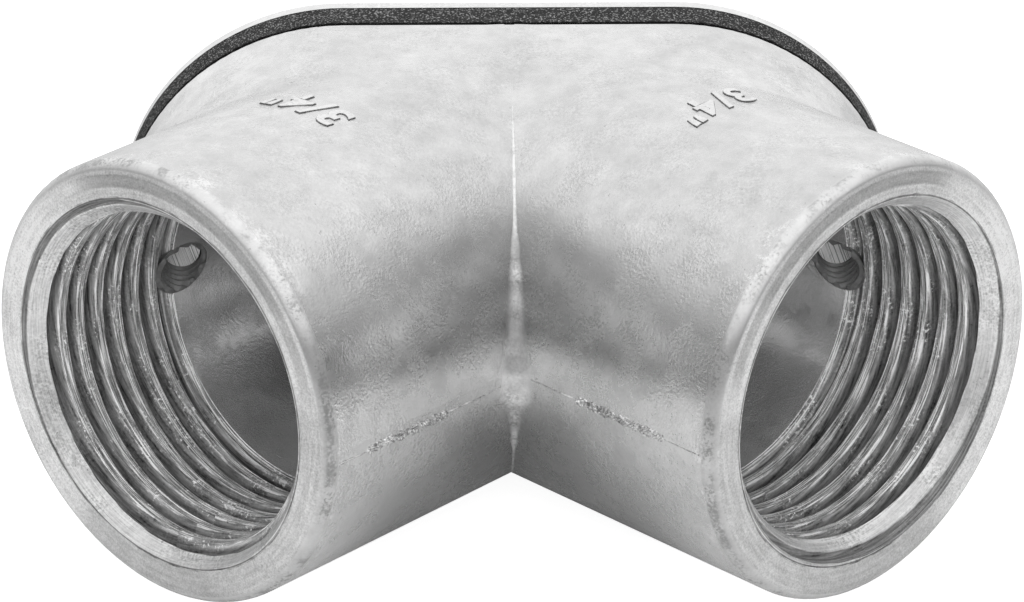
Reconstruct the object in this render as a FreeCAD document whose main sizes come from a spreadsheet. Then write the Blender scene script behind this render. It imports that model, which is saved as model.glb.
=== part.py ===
"""Conduit pull elbow: a die-cast 90 degree housing with two threaded mouths, and a gasketed cover on two screws.

The two arms run at 45 degrees to the X axis towards -Y, and the pull opening with its cover faces +Y.
Every body is drawn about the point where the arm axes meet, then lifted so that the part lies on Z = 0.
"""

import FreeCAD, Part
import math
import os
import Sketcher

SIZES = [
    ("mouth_reach", 35.3, "meeting point of the arm axes to a mouth face"),
    ("thread_radius", 13.4, "wall of the threaded length"),
    ("arm_wall", 2.45, "arm outside the threaded wall, at the corner"),
    ("mouth_swell", 0.55, "how much thicker an arm is at its mouth"),
    ("rim_round", 1.0, "rounding of the outer mouth edge"),
    ("lead_in_rise", 0.4, "lead-in cone outside the threaded wall"),
    ("lead_in_depth", 0.4, "depth of the lead-in cone"),
    ("thread_depth", 12.3, "mouth face to the end of the thread"),
    ("runout", 1.1, "length of the cone where the thread runs out"),
    ("thread_height", 1.3, "smooth passage inside the threaded wall"),
    ("flange_drop", 0.05, "flange sides below the arm tops"),
    ("flange_half_span", 11.8, "middle to the centre of a rounded end"),
    ("flange_face", 0.4, "cover seat behind the arm axes"),
    ("flange_depth", 12.0, "how far the flange runs into the arms"),
    ("window_inset", 0.5, "rounded ends of the pull opening inside the passage"),
    ("window_half_span", 6.9, "middle to the centre of a rounded end"),
    ("window_depth", 4.9, "pull opening from the cover seat inwards"),
    ("gasket_thickness", 2.9, "rubber sheet under the cover"),
    ("gasket_margin", 0.4, "gasket opening outside the pull opening"),
    ("cover_thickness", 1.0, "sheet of the cover"),
    ("cover_bevel", 0.15, "bevel of the cover's outer edge"),
    ("screw_offset", 23.4, "middle to a screw axis"),
    ("tapped_radius", 1.8, "tapped hole in the flange"),
    ("tapped_depth", 8.6, "tapped hole, through into the passage"),
    ("cleared_radius", 1.95, "screw holes in gasket and cover"),
    ("screw_length", 7.94, "screw under its head"),
    ("shank_radius", 1.75, "outside of the screw thread"),
    ("tip_chamfer", 0.4, "chamfer of the screw tip"),
    ("head_radius", 3.3, "screw head"),
    ("head_height", 2.1, "screw head"),
    ("head_fall", 1.3, "height and width of the head's sloping edge"),
    ("slot_width", 1.1, "driver slot"),
    ("slot_depth", 1.0, "driver slot"),
]
SPARE = 5.0
LEFT_ARM_TURN = 225
RIGHT_ARM_TURN = 315
SLOT_TURNS = {"left_cover_screw": 24, "right_cover_screw": -51}


class Length:
    """A driving size, or a sum of them: its number and the expression that gives it."""

    def __init__(self, value, text):
        self.value = value
        self.text = text

    def __add__(self, other):
        other = plain(other)
        return Length(self.value + other.value, f"{self.text} + {other.text}")

    def __sub__(self, other):
        other = plain(other)
        return Length(self.value - other.value, f"{self.text} - ({other.text})")

    def __neg__(self):
        return Length(-self.value, f"-({self.text})")

    def times(self, factor):
        """This length multiplied by a plain number."""
        return Length(self.value * factor, f"({self.text}) * {factor}")


def plain(value):
    """A Length from a Length or a number in millimetres."""
    return value if isinstance(value, Length) else Length(value, str(value))


doc = FreeCAD.newDocument("pull_elbow")
sheet = doc.addObject("Spreadsheet::Sheet", "sizes")
size = {}
for row, (alias, value, note) in enumerate(SIZES, 1):
    sheet.set(f"A{row}", alias)
    sheet.set(f"B{row}", str(value))
    sheet.setAlias(f"B{row}", alias)
    sheet.set(f"C{row}", note)
    size[alias] = Length(value, f"sizes.{alias}")
arm_radius = size["thread_radius"] + size["arm_wall"]
mouth_radius = arm_radius + size["mouth_swell"]
lead_in_radius = size["thread_radius"] + size["lead_in_rise"]
bore_radius = size["thread_radius"] - size["thread_height"]
window_radius = bore_radius - size["window_inset"]
flange_radius = arm_radius - size["flange_drop"]
doc.recompute()


def new_body(label):
    """An empty body whose label names its file."""
    body = doc.addObject("PartDesign::Body", label)
    body.Label = label
    return body


def sketch_on(body, plane, name, turn=0, lift=None):
    """A sketch on one of the body's origin planes, turned in it by degrees and lifted along its normal."""
    sketch = body.newObject("Sketcher::SketchObject", name)
    support = [f for f in body.Origin.OriginFeatures if f.Role == plane][0]
    sketch.AttachmentSupport = [(support, "")]
    sketch.MapMode = "FlatFace"
    sketch.AttachmentOffset = FreeCAD.Placement(
        FreeCAD.Vector(0, 0, 0), FreeCAD.Rotation(FreeCAD.Vector(0, 0, 1), turn)
    )
    if lift is not None:
        sketch.setExpression("AttachmentOffset.Base.z", lift.text)
    return sketch


def limit(sketch, *constraint, length=None):
    """Add a constraint, and drive it by a length if one is given."""
    number = sketch.addConstraint(Sketcher.Constraint(*constraint))
    if length is not None:
        sketch.setExpression(f"Constraints[{number}]", length.text)


def pin(sketch, geometry, point, x, y):
    """Hold a point of the sketch at a stated place."""
    for kind, axis, length in (("DistanceX", -2, plain(x)), ("DistanceY", -1, plain(y))):
        if length.value == 0:
            limit(sketch, "PointOnObject", geometry, point, axis)
        else:
            limit(sketch, kind, -1, 1, geometry, point, length.value, length=length)


def spot(x, y):
    """The sketch point at two lengths."""
    return FreeCAD.Vector(plain(x).value, plain(y).value, 0)


def polygon(sketch, corners):
    """A closed outline of straight edges through the corners."""
    first = sketch.GeometryCount
    count = len(corners)
    for n in range(count):
        start = spot(*corners[n])
        end = spot(*corners[(n + 1) % count])
        sketch.addGeometry(Part.LineSegment(start, end), False)
    for n in range(count):
        limit(sketch, "Coincident", first + n, 2, first + (n + 1) % count, 1)
    for n in range(count):
        pin(sketch, first + n, 1, *corners[n])


def obround(sketch, half_span, radius):
    """Two half circles joined by straight edges, centred on the sketch origin."""
    first = sketch.GeometryCount
    a = half_span.value
    r = radius.value
    normal = FreeCAD.Vector(0, 0, 1)
    quarter = math.pi / 2
    right = Part.Circle(FreeCAD.Vector(a, 0, 0), normal, r)
    left = Part.Circle(FreeCAD.Vector(-a, 0, 0), normal, r)
    sketch.addGeometry(Part.ArcOfCircle(right, -quarter, quarter), False)
    sketch.addGeometry(Part.LineSegment(spot(a, r), spot(-a, r)), False)
    sketch.addGeometry(Part.ArcOfCircle(left, quarter, 3 * quarter), False)
    sketch.addGeometry(Part.LineSegment(spot(-a, -r), spot(a, -r)), False)
    limit(sketch, "Tangent", first, 2, first + 1, 1)
    limit(sketch, "Tangent", first + 1, 2, first + 2, 1)
    limit(sketch, "Tangent", first + 2, 2, first + 3, 1)
    limit(sketch, "Tangent", first + 3, 2, first, 1)
    pin(sketch, first, 3, half_span, 0)
    pin(sketch, first + 2, 3, -half_span, 0)
    limit(sketch, "Radius", first, r, length=radius)


def circle(sketch, x, y, radius):
    """A circle at a stated place."""
    number = sketch.addGeometry(
        Part.Circle(spot(x, y), FreeCAD.Vector(0, 0, 1), radius.value), False
    )
    pin(sketch, number, 3, x, y)
    limit(sketch, "Radius", number, radius.value, length=radius)


def screw_circles(sketch, radius):
    """One circle on each screw axis."""
    circle(sketch, -size["screw_offset"], 0, radius)
    circle(sketch, size["screw_offset"], 0, radius)


def extrude(body, kind, name, sketch, length=None, reverse=False):
    """A pad or pocket of a stated length, or a pocket right through both ways if none is given."""
    feature = body.newObject(f"PartDesign::{kind}", name)
    feature.Profile = sketch
    if length is None:
        feature.SideType = "Symmetric"
        feature.Type = "ThroughAll"
    else:
        feature.setExpression("Length", length.text)
        feature.Reversed = reverse
    return feature


def revolve(body, kind, name, sketch, axis):
    """A full turn of a sketch about one of its own axes, added or cut away."""
    feature = body.newObject(f"PartDesign::{kind}", name)
    feature.Profile = sketch
    feature.ReferenceAxis = (sketch, [axis])
    feature.Angle = 360
    return feature


def settle(body, feature):
    """Make a feature the body's tip and work it out."""
    body.Tip = feature
    doc.recompute()


def bevel(body, name, y, width):
    """Bevel the edges of the body's tip that lie wholly at one Y."""
    base = body.Tip
    edges = enumerate(base.Shape.Edges, 1)
    names = [f"Edge{n}" for n, e in edges if all(abs(v.Point.y - y) < 1e-6 for v in e.Vertexes)]
    feature = body.newObject("PartDesign::Chamfer", name)
    feature.Base = (base, names)
    feature.setExpression("Size", width.text)
    settle(body, feature)


def arm_outside(body, side, turn):
    """The arm's outside: a slight cone from the corner to the mouth, with a rounded mouth edge."""
    sketch = sketch_on(body, "XY_Plane", f"{side}_arm_outline", turn)
    reach = size["mouth_reach"].value
    rim = size["rim_round"].value
    corner = arm_radius.value
    mouth = mouth_radius.value
    sketch.addGeometry(Part.LineSegment(spot(0, 0), spot(0, corner)), False)
    sketch.addGeometry(Part.LineSegment(spot(0, corner), spot(reach - rim, mouth)), False)
    bend = Part.Circle(spot(reach - rim, mouth - rim), FreeCAD.Vector(0, 0, 1), rim)
    sketch.addGeometry(Part.ArcOfCircle(bend, 0, math.pi / 2), False)
    sketch.addGeometry(Part.LineSegment(spot(reach, mouth - rim), spot(reach, 0)), False)
    sketch.addGeometry(Part.LineSegment(spot(reach, 0), spot(0, 0)), False)
    limit(sketch, "Coincident", 0, 2, 1, 1)
    limit(sketch, "Tangent", 1, 2, 2, 2)
    limit(sketch, "Tangent", 2, 1, 3, 1)
    limit(sketch, "Coincident", 3, 2, 4, 1)
    limit(sketch, "Coincident", 4, 2, 0, 1)
    pin(sketch, 0, 1, 0, 0)
    pin(sketch, 0, 2, 0, arm_radius)
    pin(sketch, 3, 2, size["mouth_reach"], 0)
    limit(sketch, "Vertical", 3)
    limit(sketch, "DistanceY", -1, 1, 1, 2, mouth, length=mouth_radius)
    limit(sketch, "Radius", 2, rim, length=size["rim_round"])
    settle(body, revolve(body, "Revolution", f"{side}_arm", sketch, "H_Axis"))


def arm_inside(body, side, turn):
    """The arm's passage: smooth from the corner, wider along the thread, with a lead-in cone."""
    sketch = sketch_on(body, "XY_Plane", f"{side}_bore_outline", turn)
    thread_end = size["mouth_reach"] - size["thread_depth"]
    corners = [
        (0, 0),
        (size["mouth_reach"] + SPARE, 0),
        (size["mouth_reach"] + SPARE, lead_in_radius),
        (size["mouth_reach"], lead_in_radius),
        (size["mouth_reach"] - size["lead_in_depth"], size["thread_radius"]),
        (thread_end, size["thread_radius"]),
        (thread_end - size["runout"], bore_radius),
        (0, bore_radius),
    ]
    polygon(sketch, corners)
    settle(body, revolve(body, "Groove", f"{side}_bore", sketch, "H_Axis"))


seat = size["flange_face"]
gasket_back = seat + size["gasket_thickness"]
cover_back = gasket_back + size["cover_thickness"]

housing = new_body("elbow_body")
outline = sketch_on(housing, "XZ_Plane", "flange_outline", lift=-(seat + SPARE))
obround(outline, size["flange_half_span"], flange_radius)
settle(
    housing,
    extrude(housing, "Pad", "flange", outline, seat + SPARE + size["flange_depth"]),
)

valley = sketch_on(housing, "XY_Plane", "front_of_the_arm_tops")
deep = size["flange_depth"] + SPARE
polygon(valley, [(0, 0), (-deep, -deep), (deep, -deep)])
settle(housing, extrude(housing, "Pocket", "flange_behind_the_tops", valley))

arm_outside(housing, "left", LEFT_ARM_TURN)
arm_outside(housing, "right", RIGHT_ARM_TURN)

behind = sketch_on(housing, "XY_Plane", "behind_the_seat")
wide = size["flange_half_span"] + flange_radius + SPARE
far = seat + size["mouth_reach"]
polygon(behind, [(-wide, seat), (wide, seat), (wide, far), (-wide, far)])
settle(housing, extrude(housing, "Pocket", "cover_seat", behind))

arm_inside(housing, "left", LEFT_ARM_TURN)
arm_inside(housing, "right", RIGHT_ARM_TURN)

window = sketch_on(housing, "XZ_Plane", "window_outline", lift=-seat)
obround(window, size["window_half_span"], window_radius)
settle(
    housing,
    extrude(housing, "Pocket", "pull_opening", window, size["window_depth"], reverse=True),
)

tapped = sketch_on(housing, "XZ_Plane", "tapped_hole_outlines", lift=-seat)
screw_circles(tapped, size["tapped_radius"])
settle(
    housing,
    extrude(housing, "Pocket", "tapped_holes", tapped, size["tapped_depth"], reverse=True),
)

gasket = new_body("cover_gasket")
ring = sketch_on(gasket, "XZ_Plane", "gasket_outline", lift=-gasket_back)
obround(ring, size["flange_half_span"], flange_radius)
obround(ring, size["window_half_span"], window_radius + size["gasket_margin"])
screw_circles(ring, size["cleared_radius"])
settle(gasket, extrude(gasket, "Pad", "gasket_sheet", ring, size["gasket_thickness"]))

cover = new_body("cover_plate")
plate = sketch_on(cover, "XZ_Plane", "cover_outline", lift=-cover_back)
obround(plate, size["flange_half_span"], flange_radius)
settle(cover, extrude(cover, "Pad", "cover_sheet", plate, size["cover_thickness"]))
bevel(cover, "cover_edge", cover_back.value, size["cover_bevel"])
cleared = sketch_on(cover, "XZ_Plane", "cover_hole_outlines", lift=-cover_back)
screw_circles(cleared, size["cleared_radius"])
settle(cover, extrude(cover, "Pocket", "cover_holes", cleared))


def cover_screw(label):
    """A slotted pan-head screw about the Y axis, with the underside of its head at the body's origin."""
    screw = new_body(label)
    profile = sketch_on(screw, "XY_Plane", f"{label}_outline")
    fall = size["head_fall"]
    corners = [
        (0, -size["screw_length"]),
        (size["shank_radius"] - size["tip_chamfer"], -size["screw_length"]),
        (size["shank_radius"], -(size["screw_length"] - size["tip_chamfer"])),
        (size["shank_radius"], 0),
        (size["head_radius"], 0),
        (size["head_radius"], size["head_height"] - fall),
        (size["head_radius"] - fall.times(0.3), size["head_height"] - fall.times(0.4)),
        (size["head_radius"] - fall, size["head_height"]),
        (0, size["head_height"]),
    ]
    polygon(profile, corners)
    settle(screw, revolve(screw, "Revolution", f"{label}_turned", profile, "V_Axis"))
    slot = sketch_on(screw, "XZ_Plane", f"{label}_slot_outline", lift=-size["head_height"])
    half = size["slot_width"].times(0.5)
    long = size["head_radius"] + 1
    polygon(slot, [(-long, -half), (long, -half), (long, half), (-long, half)])
    settle(
        screw,
        extrude(screw, "Pocket", f"{label}_slot", slot, size["slot_depth"], reverse=True),
    )
    return screw


screws = {label: cover_screw(label) for label in SLOT_TURNS}

front = (
    (size["mouth_reach"] + mouth_radius - size["rim_round"].times(2)).times(
        round(math.sqrt(0.5), 9)
    )
    + size["rim_round"]
)
shift = (front - cover_back - size["head_height"]).times(0.5)
for body in (housing, gasket, cover):
    body.setExpression("Placement.Base.y", shift.text)
    body.setExpression("Placement.Base.z", mouth_radius.text)
for label, side in (("left_cover_screw", -1), ("right_cover_screw", 1)):
    screw = screws[label]
    turned = FreeCAD.Rotation(FreeCAD.Vector(0, 1, 0), SLOT_TURNS[label])
    screw.Placement = FreeCAD.Placement(FreeCAD.Vector(0, 0, 0), turned)
    screw.setExpression("Placement.Base.x", size["screw_offset"].times(side).text)
    screw.setExpression("Placement.Base.y", (shift + cover_back).text)
    screw.setExpression("Placement.Base.z", mouth_radius.text)
doc.recompute()

bodies = [housing, gasket, cover, *screws.values()]
for thing in doc.Objects:
    bad = [state for state in thing.State if state in ("Invalid", "Error")]
    if bad:
        raise RuntimeError(f"{thing.Label} is {bad}")
for body in bodies:
    if body.Shape.isNull() or not body.Shape.isValid() or len(body.Shape.Solids) != 1:
        raise RuntimeError(f"{body.Label} is not one valid solid")

os.makedirs("parts", exist_ok=True)
for body in bodies:
    body.Shape.exportStep(f"parts/{body.Label}.step")
    box = body.Shape.BoundBox
    print(
        body.Label,
        f"volume {body.Shape.Volume:.1f}",
        f"x {box.XMin:.2f} {box.XMax:.2f}",
        f"y {box.YMin:.2f} {box.YMax:.2f}",
        f"z {box.ZMin:.2f} {box.ZMax:.2f}",
    )
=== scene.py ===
"""The conduit pull elbow dressed for its picture: cast skin, cut threads, screws, gasket and cover.

Shapes are in millimetres about the point where the two arm axes meet, and become metres in the row frame
when a mesh is made. Each arm has its own directions: out of the mouth, towards the inner corner, and up.
Finishes that read plain object coordinates, the floor and the lamp are in metres.
"""

import bmesh
import bpy
import math
import numpy as np
from mathutils import Matrix


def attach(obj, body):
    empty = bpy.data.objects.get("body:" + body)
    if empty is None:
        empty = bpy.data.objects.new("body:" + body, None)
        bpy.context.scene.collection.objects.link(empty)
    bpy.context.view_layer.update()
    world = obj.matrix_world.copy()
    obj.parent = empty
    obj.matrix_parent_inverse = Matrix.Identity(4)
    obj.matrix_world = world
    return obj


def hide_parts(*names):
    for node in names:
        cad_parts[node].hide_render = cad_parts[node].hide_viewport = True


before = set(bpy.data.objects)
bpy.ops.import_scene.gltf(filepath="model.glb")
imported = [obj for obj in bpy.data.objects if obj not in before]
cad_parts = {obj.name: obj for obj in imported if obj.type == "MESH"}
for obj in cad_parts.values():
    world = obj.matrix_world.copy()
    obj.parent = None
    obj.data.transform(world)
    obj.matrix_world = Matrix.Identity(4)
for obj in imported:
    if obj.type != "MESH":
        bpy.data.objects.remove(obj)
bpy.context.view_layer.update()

AXES_MEET = np.array([0.0, 14.8716, 16.4])
MM = 0.001
HALF = math.sqrt(0.5)
TURN = 2.0 * math.pi
UP = np.array([0.0, 0.0, 1.0])
BACK = np.array([0.0, 1.0, 0.0])
MOUTH_REACH = 35.3
ARM_RADIUS = 15.85
MOUTH_SWELL = 0.55
RIM_ROUND = 1.0
THREAD_WALL = 13.4
THREAD_HEIGHT = 1.1
THREAD_BACK = 14.3
BORE_RADIUS = 12.1
THREAD_END = 23.0
RUNOUT_END = 21.9
LEAD_IN_START = 34.9
CONDUIT_PITCH = 25.4 / 14
FIRST_GROOVE = {"left": 118.0, "right": -70.0}
GROOVE_CENTRE = 35.5
RIDGE_PITCH = 0.34
LEAD_IN_SLOPE = 0.9
LEAD_IN_RADIUS = 13.27
FACE_INNER = 13.78
SEAT = 0.4
GASKET_OUTER = 3.3
COVER_OUTER = 4.3
SCREW_OFFSET = 23.4
SCREW_LENGTH = 7.94
SCREW_TIP = COVER_OUTER - SCREW_LENGTH
SCREW_PITCH = 25.4 / 32
SCREW_CORE = 1.37
SCREW_THREAD = 0.35
TIP_RADIUS = 1.34
SCREW_STEPS = 97
TAPPED_RADIUS = 1.8
HOLE_CORE = 1.44
HOLE_THREAD = 0.34
HOLE_BACK = 1.84
HEAD_RADIUS = 3.3
HEAD_HEIGHT = 2.1
HEAD_ROUND = 1.3
SLOT_HALF_LENGTH = 4.0
SLOT_HALF_WIDTH = 0.55
SLOT_DEPTH = 1.0
SLOT_TURNS = {"left": 24.0, "right": -51.0}
SIDES = {"left": -1.0, "right": 1.0}
STRIP_HALF_WIDTH = 0.62
STRIP_COLUMNS = 41
# Painted shade beside the valley between the arms, low down.
LOW_VALLEY_SHADE = -0.13
# Painted shade beside the valley between the arms, at mid height.
HIGH_VALLEY_SHADE = -0.24
FILL_WATTS = 7.0
PICTURE_WIDTH = 1024.0
SENSOR_WIDTH = 36.0


def arm_directions(side):
    """Unit vectors of one arm: out of its mouth, and level towards the inner corner."""
    sign = SIDES[side]
    return np.array([sign * HALF, -HALF, 0.0]), np.array([-sign * HALF, -HALF, 0.0])


def arm_radius_at(reach):
    """Outside of an arm: a slight straight taper from the corner to the mouth."""
    return ARM_RADIUS + MOUTH_SWELL * reach / (MOUTH_REACH - RIM_ROUND)


def smooth(low, high, x):
    """0 below low, 1 above high and a cubic ease between."""
    t = np.clip((x - low) / (high - low), 0.0, 1.0)
    return t * t * (3.0 - 2.0 * t)


def ripple(seed, count, *coords):
    """Smooth random waves: a sum of sines with random directions and phases, mostly between -1.5 and 1.5."""
    rng = np.random.default_rng(seed)
    total = 0.0
    for _ in range(count):
        phase = rng.uniform(0.0, TURN)
        for coord in coords:
            phase = phase + coord * rng.normal(0.0, 1.0)
        total = total + np.sin(phase)
    return total / math.sqrt(count)


def grid_faces(rows, columns, wrap_rows, wrap_columns):
    """Quads between neighbouring points of a grid, going round where an edge is closed."""
    i = np.arange(rows if wrap_rows else rows - 1)[:, None]
    j = np.arange(columns if wrap_columns else columns - 1)[None, :]
    i2 = (i + 1) % rows
    j2 = (j + 1) % columns
    quads = np.stack(
        [i * columns + j, i2 * columns + j, i2 * columns + j2, i * columns + j2], axis=-1
    )
    return quads.reshape(-1, 4)


def enclosed_volume(points, quads):
    """Signed volume inside a closed mesh of quads, positive when its faces point outwards."""
    a, b, c, d = (points[quads[:, k]] for k in range(4))
    first = np.einsum("ij,ij->i", a, np.cross(b, c))
    second = np.einsum("ij,ij->i", a, np.cross(c, d))
    return (first.sum() + second.sum()) / 6.0


def make_piece(name, points, quads, material, middle=None):
    """A mesh object in the row frame from points in millimetres, with its faces turned outwards. A number for
    each point, if given, goes along for the finish as the attribute middle."""
    if enclosed_volume(points, quads) < 0:
        quads = quads[:, ::-1]
    mesh = bpy.data.meshes.new(name)
    mesh.vertices.add(len(points))
    mesh.vertices.foreach_set("co", ((points + AXES_MEET) * MM).astype(np.float32).ravel())
    mesh.loops.add(quads.size)
    mesh.loops.foreach_set("vertex_index", quads.astype(np.int32).ravel())
    mesh.polygons.add(len(quads))
    mesh.polygons.foreach_set("loop_start", np.arange(0, quads.size, 4, dtype=np.int32))
    mesh.polygons.foreach_set("use_smooth", np.full(len(quads), True))
    mesh.update(calc_edges=True)
    mesh.materials.append(material)
    if middle is not None:
        numbers = mesh.attributes.new("middle", "FLOAT", "POINT")
        numbers.data.foreach_set("value", middle.astype(np.float32))
    join = bmesh.new()
    join.from_mesh(mesh)
    bmesh.ops.remove_doubles(join, verts=join.verts, dist=2e-7)
    join.to_mesh(mesh)
    join.free()
    piece = bpy.data.objects.new(name, mesh)
    bpy.context.scene.collection.objects.link(piece)
    return piece


def closed_tube(name, loops, material, middle=None):
    """A closed ring or bar from loops of points: rows go along or round it, columns round its section.
    Rows that come back to the first make a ring; otherwise both ends are drawn to their middle points."""
    rows, columns, _ = loops.shape
    if np.allclose(loops[0], loops[-1]):
        ring = loops[:-1].reshape(-1, 3)
        return make_piece(name, ring, grid_faces(rows - 1, columns, True, True), material)
    first = np.repeat(loops[:1].mean(axis=1, keepdims=True), columns, axis=1)
    last = np.repeat(loops[-1:].mean(axis=1, keepdims=True), columns, axis=1)
    capped = np.concatenate([first, loops, last])
    if middle is not None:
        middle = np.tile(middle, rows + 2)
    quads = grid_faces(rows + 2, columns, False, True)
    return make_piece(name, capped.reshape(-1, 3), quads, material, middle)


def cut_away(piece, cutter):
    """Cut a closed piece out of another, and remove it."""
    change = piece.modifiers.new("cut", "BOOLEAN")
    change.operation = "DIFFERENCE"
    change.solver = "EXACT"
    change.object = cutter
    view = bpy.context.evaluated_depsgraph_get()
    done = bpy.data.meshes.new_from_object(piece.evaluated_get(view))
    piece.modifiers.clear()
    old = piece.data
    piece.data = done
    bpy.data.meshes.remove(old)
    bpy.data.objects.remove(cutter)


def settle(piece, body, degrees):
    """Tie a piece to its body, with hard edges where faces meet at more than an angle."""
    piece.data.set_sharp_from_angle(angle=math.radians(degrees))
    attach(piece, body)


def node(tree, kind, place, **values):
    """A shader node with its settings and plain input values."""
    made = tree.nodes.new(kind)
    made.location = place
    for key, value in values.items():
        if key in made.inputs:
            made.inputs[key].default_value = value
        else:
            setattr(made, key, value)
    return made


def calculate(tree, operation, place, first, second, third=None):
    """A math node whose inputs are sockets or plain numbers; returns its output."""
    made = node(tree, "ShaderNodeMath", place, operation=operation)
    for number, value in enumerate((first, second, third)):
        if value is None:
            continue
        if isinstance(value, (int, float)):
            made.inputs[number].default_value = value
        else:
            tree.links.new(value, made.inputs[number])
    return made.outputs[0]


def between(tree, place, value, low, high, start=0.0, end=1.0):
    """A smooth step: start where the value is at low, end where it is at high."""
    made = node(tree, "ShaderNodeMapRange", place, interpolation_type="SMOOTHSTEP")
    made.inputs["From Min"].default_value = low
    made.inputs["From Max"].default_value = high
    made.inputs["To Min"].default_value = start
    made.inputs["To Max"].default_value = end
    tree.links.new(value, made.inputs["Value"])
    return made.outputs["Result"]


def product(tree, spot, first, *others):
    """All the values multiplied together."""
    x, y = spot
    total = first
    for step, other in enumerate(others):
        total = calculate(tree, "MULTIPLY", (x + 200 * step, y), total, other)
    return total


def build_up(tree, spot, start, *parts):
    """A start value plus each part times its weight."""
    x, y = spot
    total = start
    for step, (part, weight) in enumerate(parts):
        total = calculate(tree, "MULTIPLY_ADD", (x + 100 * step, y), part, weight, total)
    return total


def new_group(name, inputs, outputs):
    """An empty shader group with its sockets."""
    group = bpy.data.node_groups.new(name, "ShaderNodeTree")
    for label, kind in inputs:
        group.interface.new_socket(label, in_out="INPUT", socket_type=kind)
    for label, kind in outputs:
        group.interface.new_socket(label, in_out="OUTPUT", socket_type=kind)
    return group, node(group, "NodeGroupInput", (-1200, 0)), node(group, "NodeGroupOutput", (900, 0))


def arm_place_group():
    """Where a point lies on its own arm, in millimetres: distance from the arm axis, reach along it, height,
    and the angle round it. Both arms share one sum because the left is the right one mirrored."""
    vector, number = "NodeSocketVector", "NodeSocketFloat"
    group, source, sink = new_group(
        "arm_place",
        [("Position", vector)],
        [("Radius", number), ("Reach", number), ("Height", number), ("Angle", number)],
    )
    moved = node(group, "ShaderNodeVectorMath", (-1000, 0), operation="SUBTRACT")
    moved.inputs[1].default_value = AXES_MEET * MM
    group.links.new(source.outputs["Position"], moved.inputs[0])
    split = node(group, "ShaderNodeSeparateXYZ", (-800, 0))
    group.links.new(moved.outputs[0], split.inputs[0])
    side = calculate(group, "ABSOLUTE", (-600, 150), split.outputs["X"], None)
    along = calculate(group, "SUBTRACT", (-400, 150), side, split.outputs["Y"])
    across = calculate(group, "ADD", (-400, 0), side, split.outputs["Y"])
    reach = calculate(group, "MULTIPLY", (-200, 150), along, HALF / MM)
    sideways = calculate(group, "MULTIPLY", (-200, 0), across, HALF / MM)
    height = calculate(group, "MULTIPLY", (-200, -150), split.outputs["Z"], 1.0 / MM)
    square = calculate(group, "MULTIPLY", (0, 0), sideways, sideways)
    total = calculate(group, "MULTIPLY_ADD", (200, 0), height, height, square)
    group.links.new(calculate(group, "SQRT", (400, 0), total, None), sink.inputs["Radius"])
    group.links.new(reach, sink.inputs["Reach"])
    group.links.new(height, sink.inputs["Height"])
    group.links.new(calculate(group, "ARCTAN2", (400, -200), sideways, height), sink.inputs["Angle"])
    return group


def cast_skin_group():
    """Skin of a casting from noise in object space: fine grain that comes in patches, blotches, cloudy flow
    marks and a few dark pits. It puts out a number about 0 for shade and gloss, and a height."""
    vector, number = "NodeSocketVector", "NodeSocketFloat"
    group, source, sink = new_group(
        "cast_skin",
        [("Position", vector), ("Grain", number), ("Blotch", number), ("Cloud", number)],
        [("Shade", number), ("Height", number)],
    )
    layers = [("Grain", 4600.0, 3.0, 250), ("Blotch", 620.0, 4.0, 0), ("Cloud", 120.0, 4.0, -250)]
    parts = []
    for name, scale, detail, row in layers:
        noise = node(group, "ShaderNodeTexNoise", (-900, row), Scale=scale, Detail=detail, Roughness=0.62)
        group.links.new(source.outputs["Position"], noise.inputs["Vector"])
        level = calculate(group, "SUBTRACT", (-650, row), noise.outputs["Fac"], 0.5)
        parts.append(calculate(group, "MULTIPLY", (-450, row), level, source.outputs[name]))
    patches = node(group, "ShaderNodeTexNoise", (-900, 750), Scale=330.0, Detail=2.0)
    pits = node(group, "ShaderNodeTexNoise", (-900, 500), Scale=2600.0, Detail=2.0)
    for noise in (patches, pits):
        group.links.new(source.outputs["Position"], noise.inputs["Vector"])
    patchy = between(group, (-650, 750), patches.outputs["Fac"], 0.42, 0.62, 0.5, 1.7)
    pitted = between(group, (-650, 500), pits.outputs["Fac"], 0.7, 0.76, 0.0, -0.4)
    pitted = calculate(group, "MULTIPLY", (-450, 500), pitted, source.outputs["Grain"])
    grain = calculate(group, "MULTIPLY_ADD", (-200, 300), parts[0], patchy, pitted)
    rough = calculate(group, "ADD", (0, 150), grain, parts[1])
    group.links.new(calculate(group, "ADD", (200, 0), rough, parts[2]), sink.inputs["Shade"])
    group.links.new(calculate(group, "MULTIPLY_ADD", (200, 200), parts[1], 0.5, grain), sink.inputs["Height"])
    return group


def turning_marks_group():
    """Marks of a tool that cuts round an axis: noise that is fine across the cut and long along it."""
    number = "NodeSocketFloat"
    group, source, sink = new_group(
        "turning_marks", [("Across", number), ("Angle", number), ("Fineness", number)], [("Marks", number)]
    )
    across = calculate(group, "MULTIPLY", (-900, 100), source.outputs["Across"], source.outputs["Fineness"])
    along = calculate(group, "MULTIPLY", (-900, -100), source.outputs["Angle"], 3.0)
    place = node(group, "ShaderNodeCombineXYZ", (-600, 0))
    group.links.new(across, place.inputs["X"])
    group.links.new(along, place.inputs["Y"])
    noise = node(group, "ShaderNodeTexNoise", (-300, 0), Scale=1.0, Detail=4.0, Roughness=0.7)
    group.links.new(place.outputs[0], noise.inputs["Vector"])
    group.links.new(noise.outputs["Fac"], sink.inputs["Marks"])
    return group


ARM_PLACE = arm_place_group()
CAST_SKIN = cast_skin_group()
TURNING_MARKS = turning_marks_group()


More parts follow.
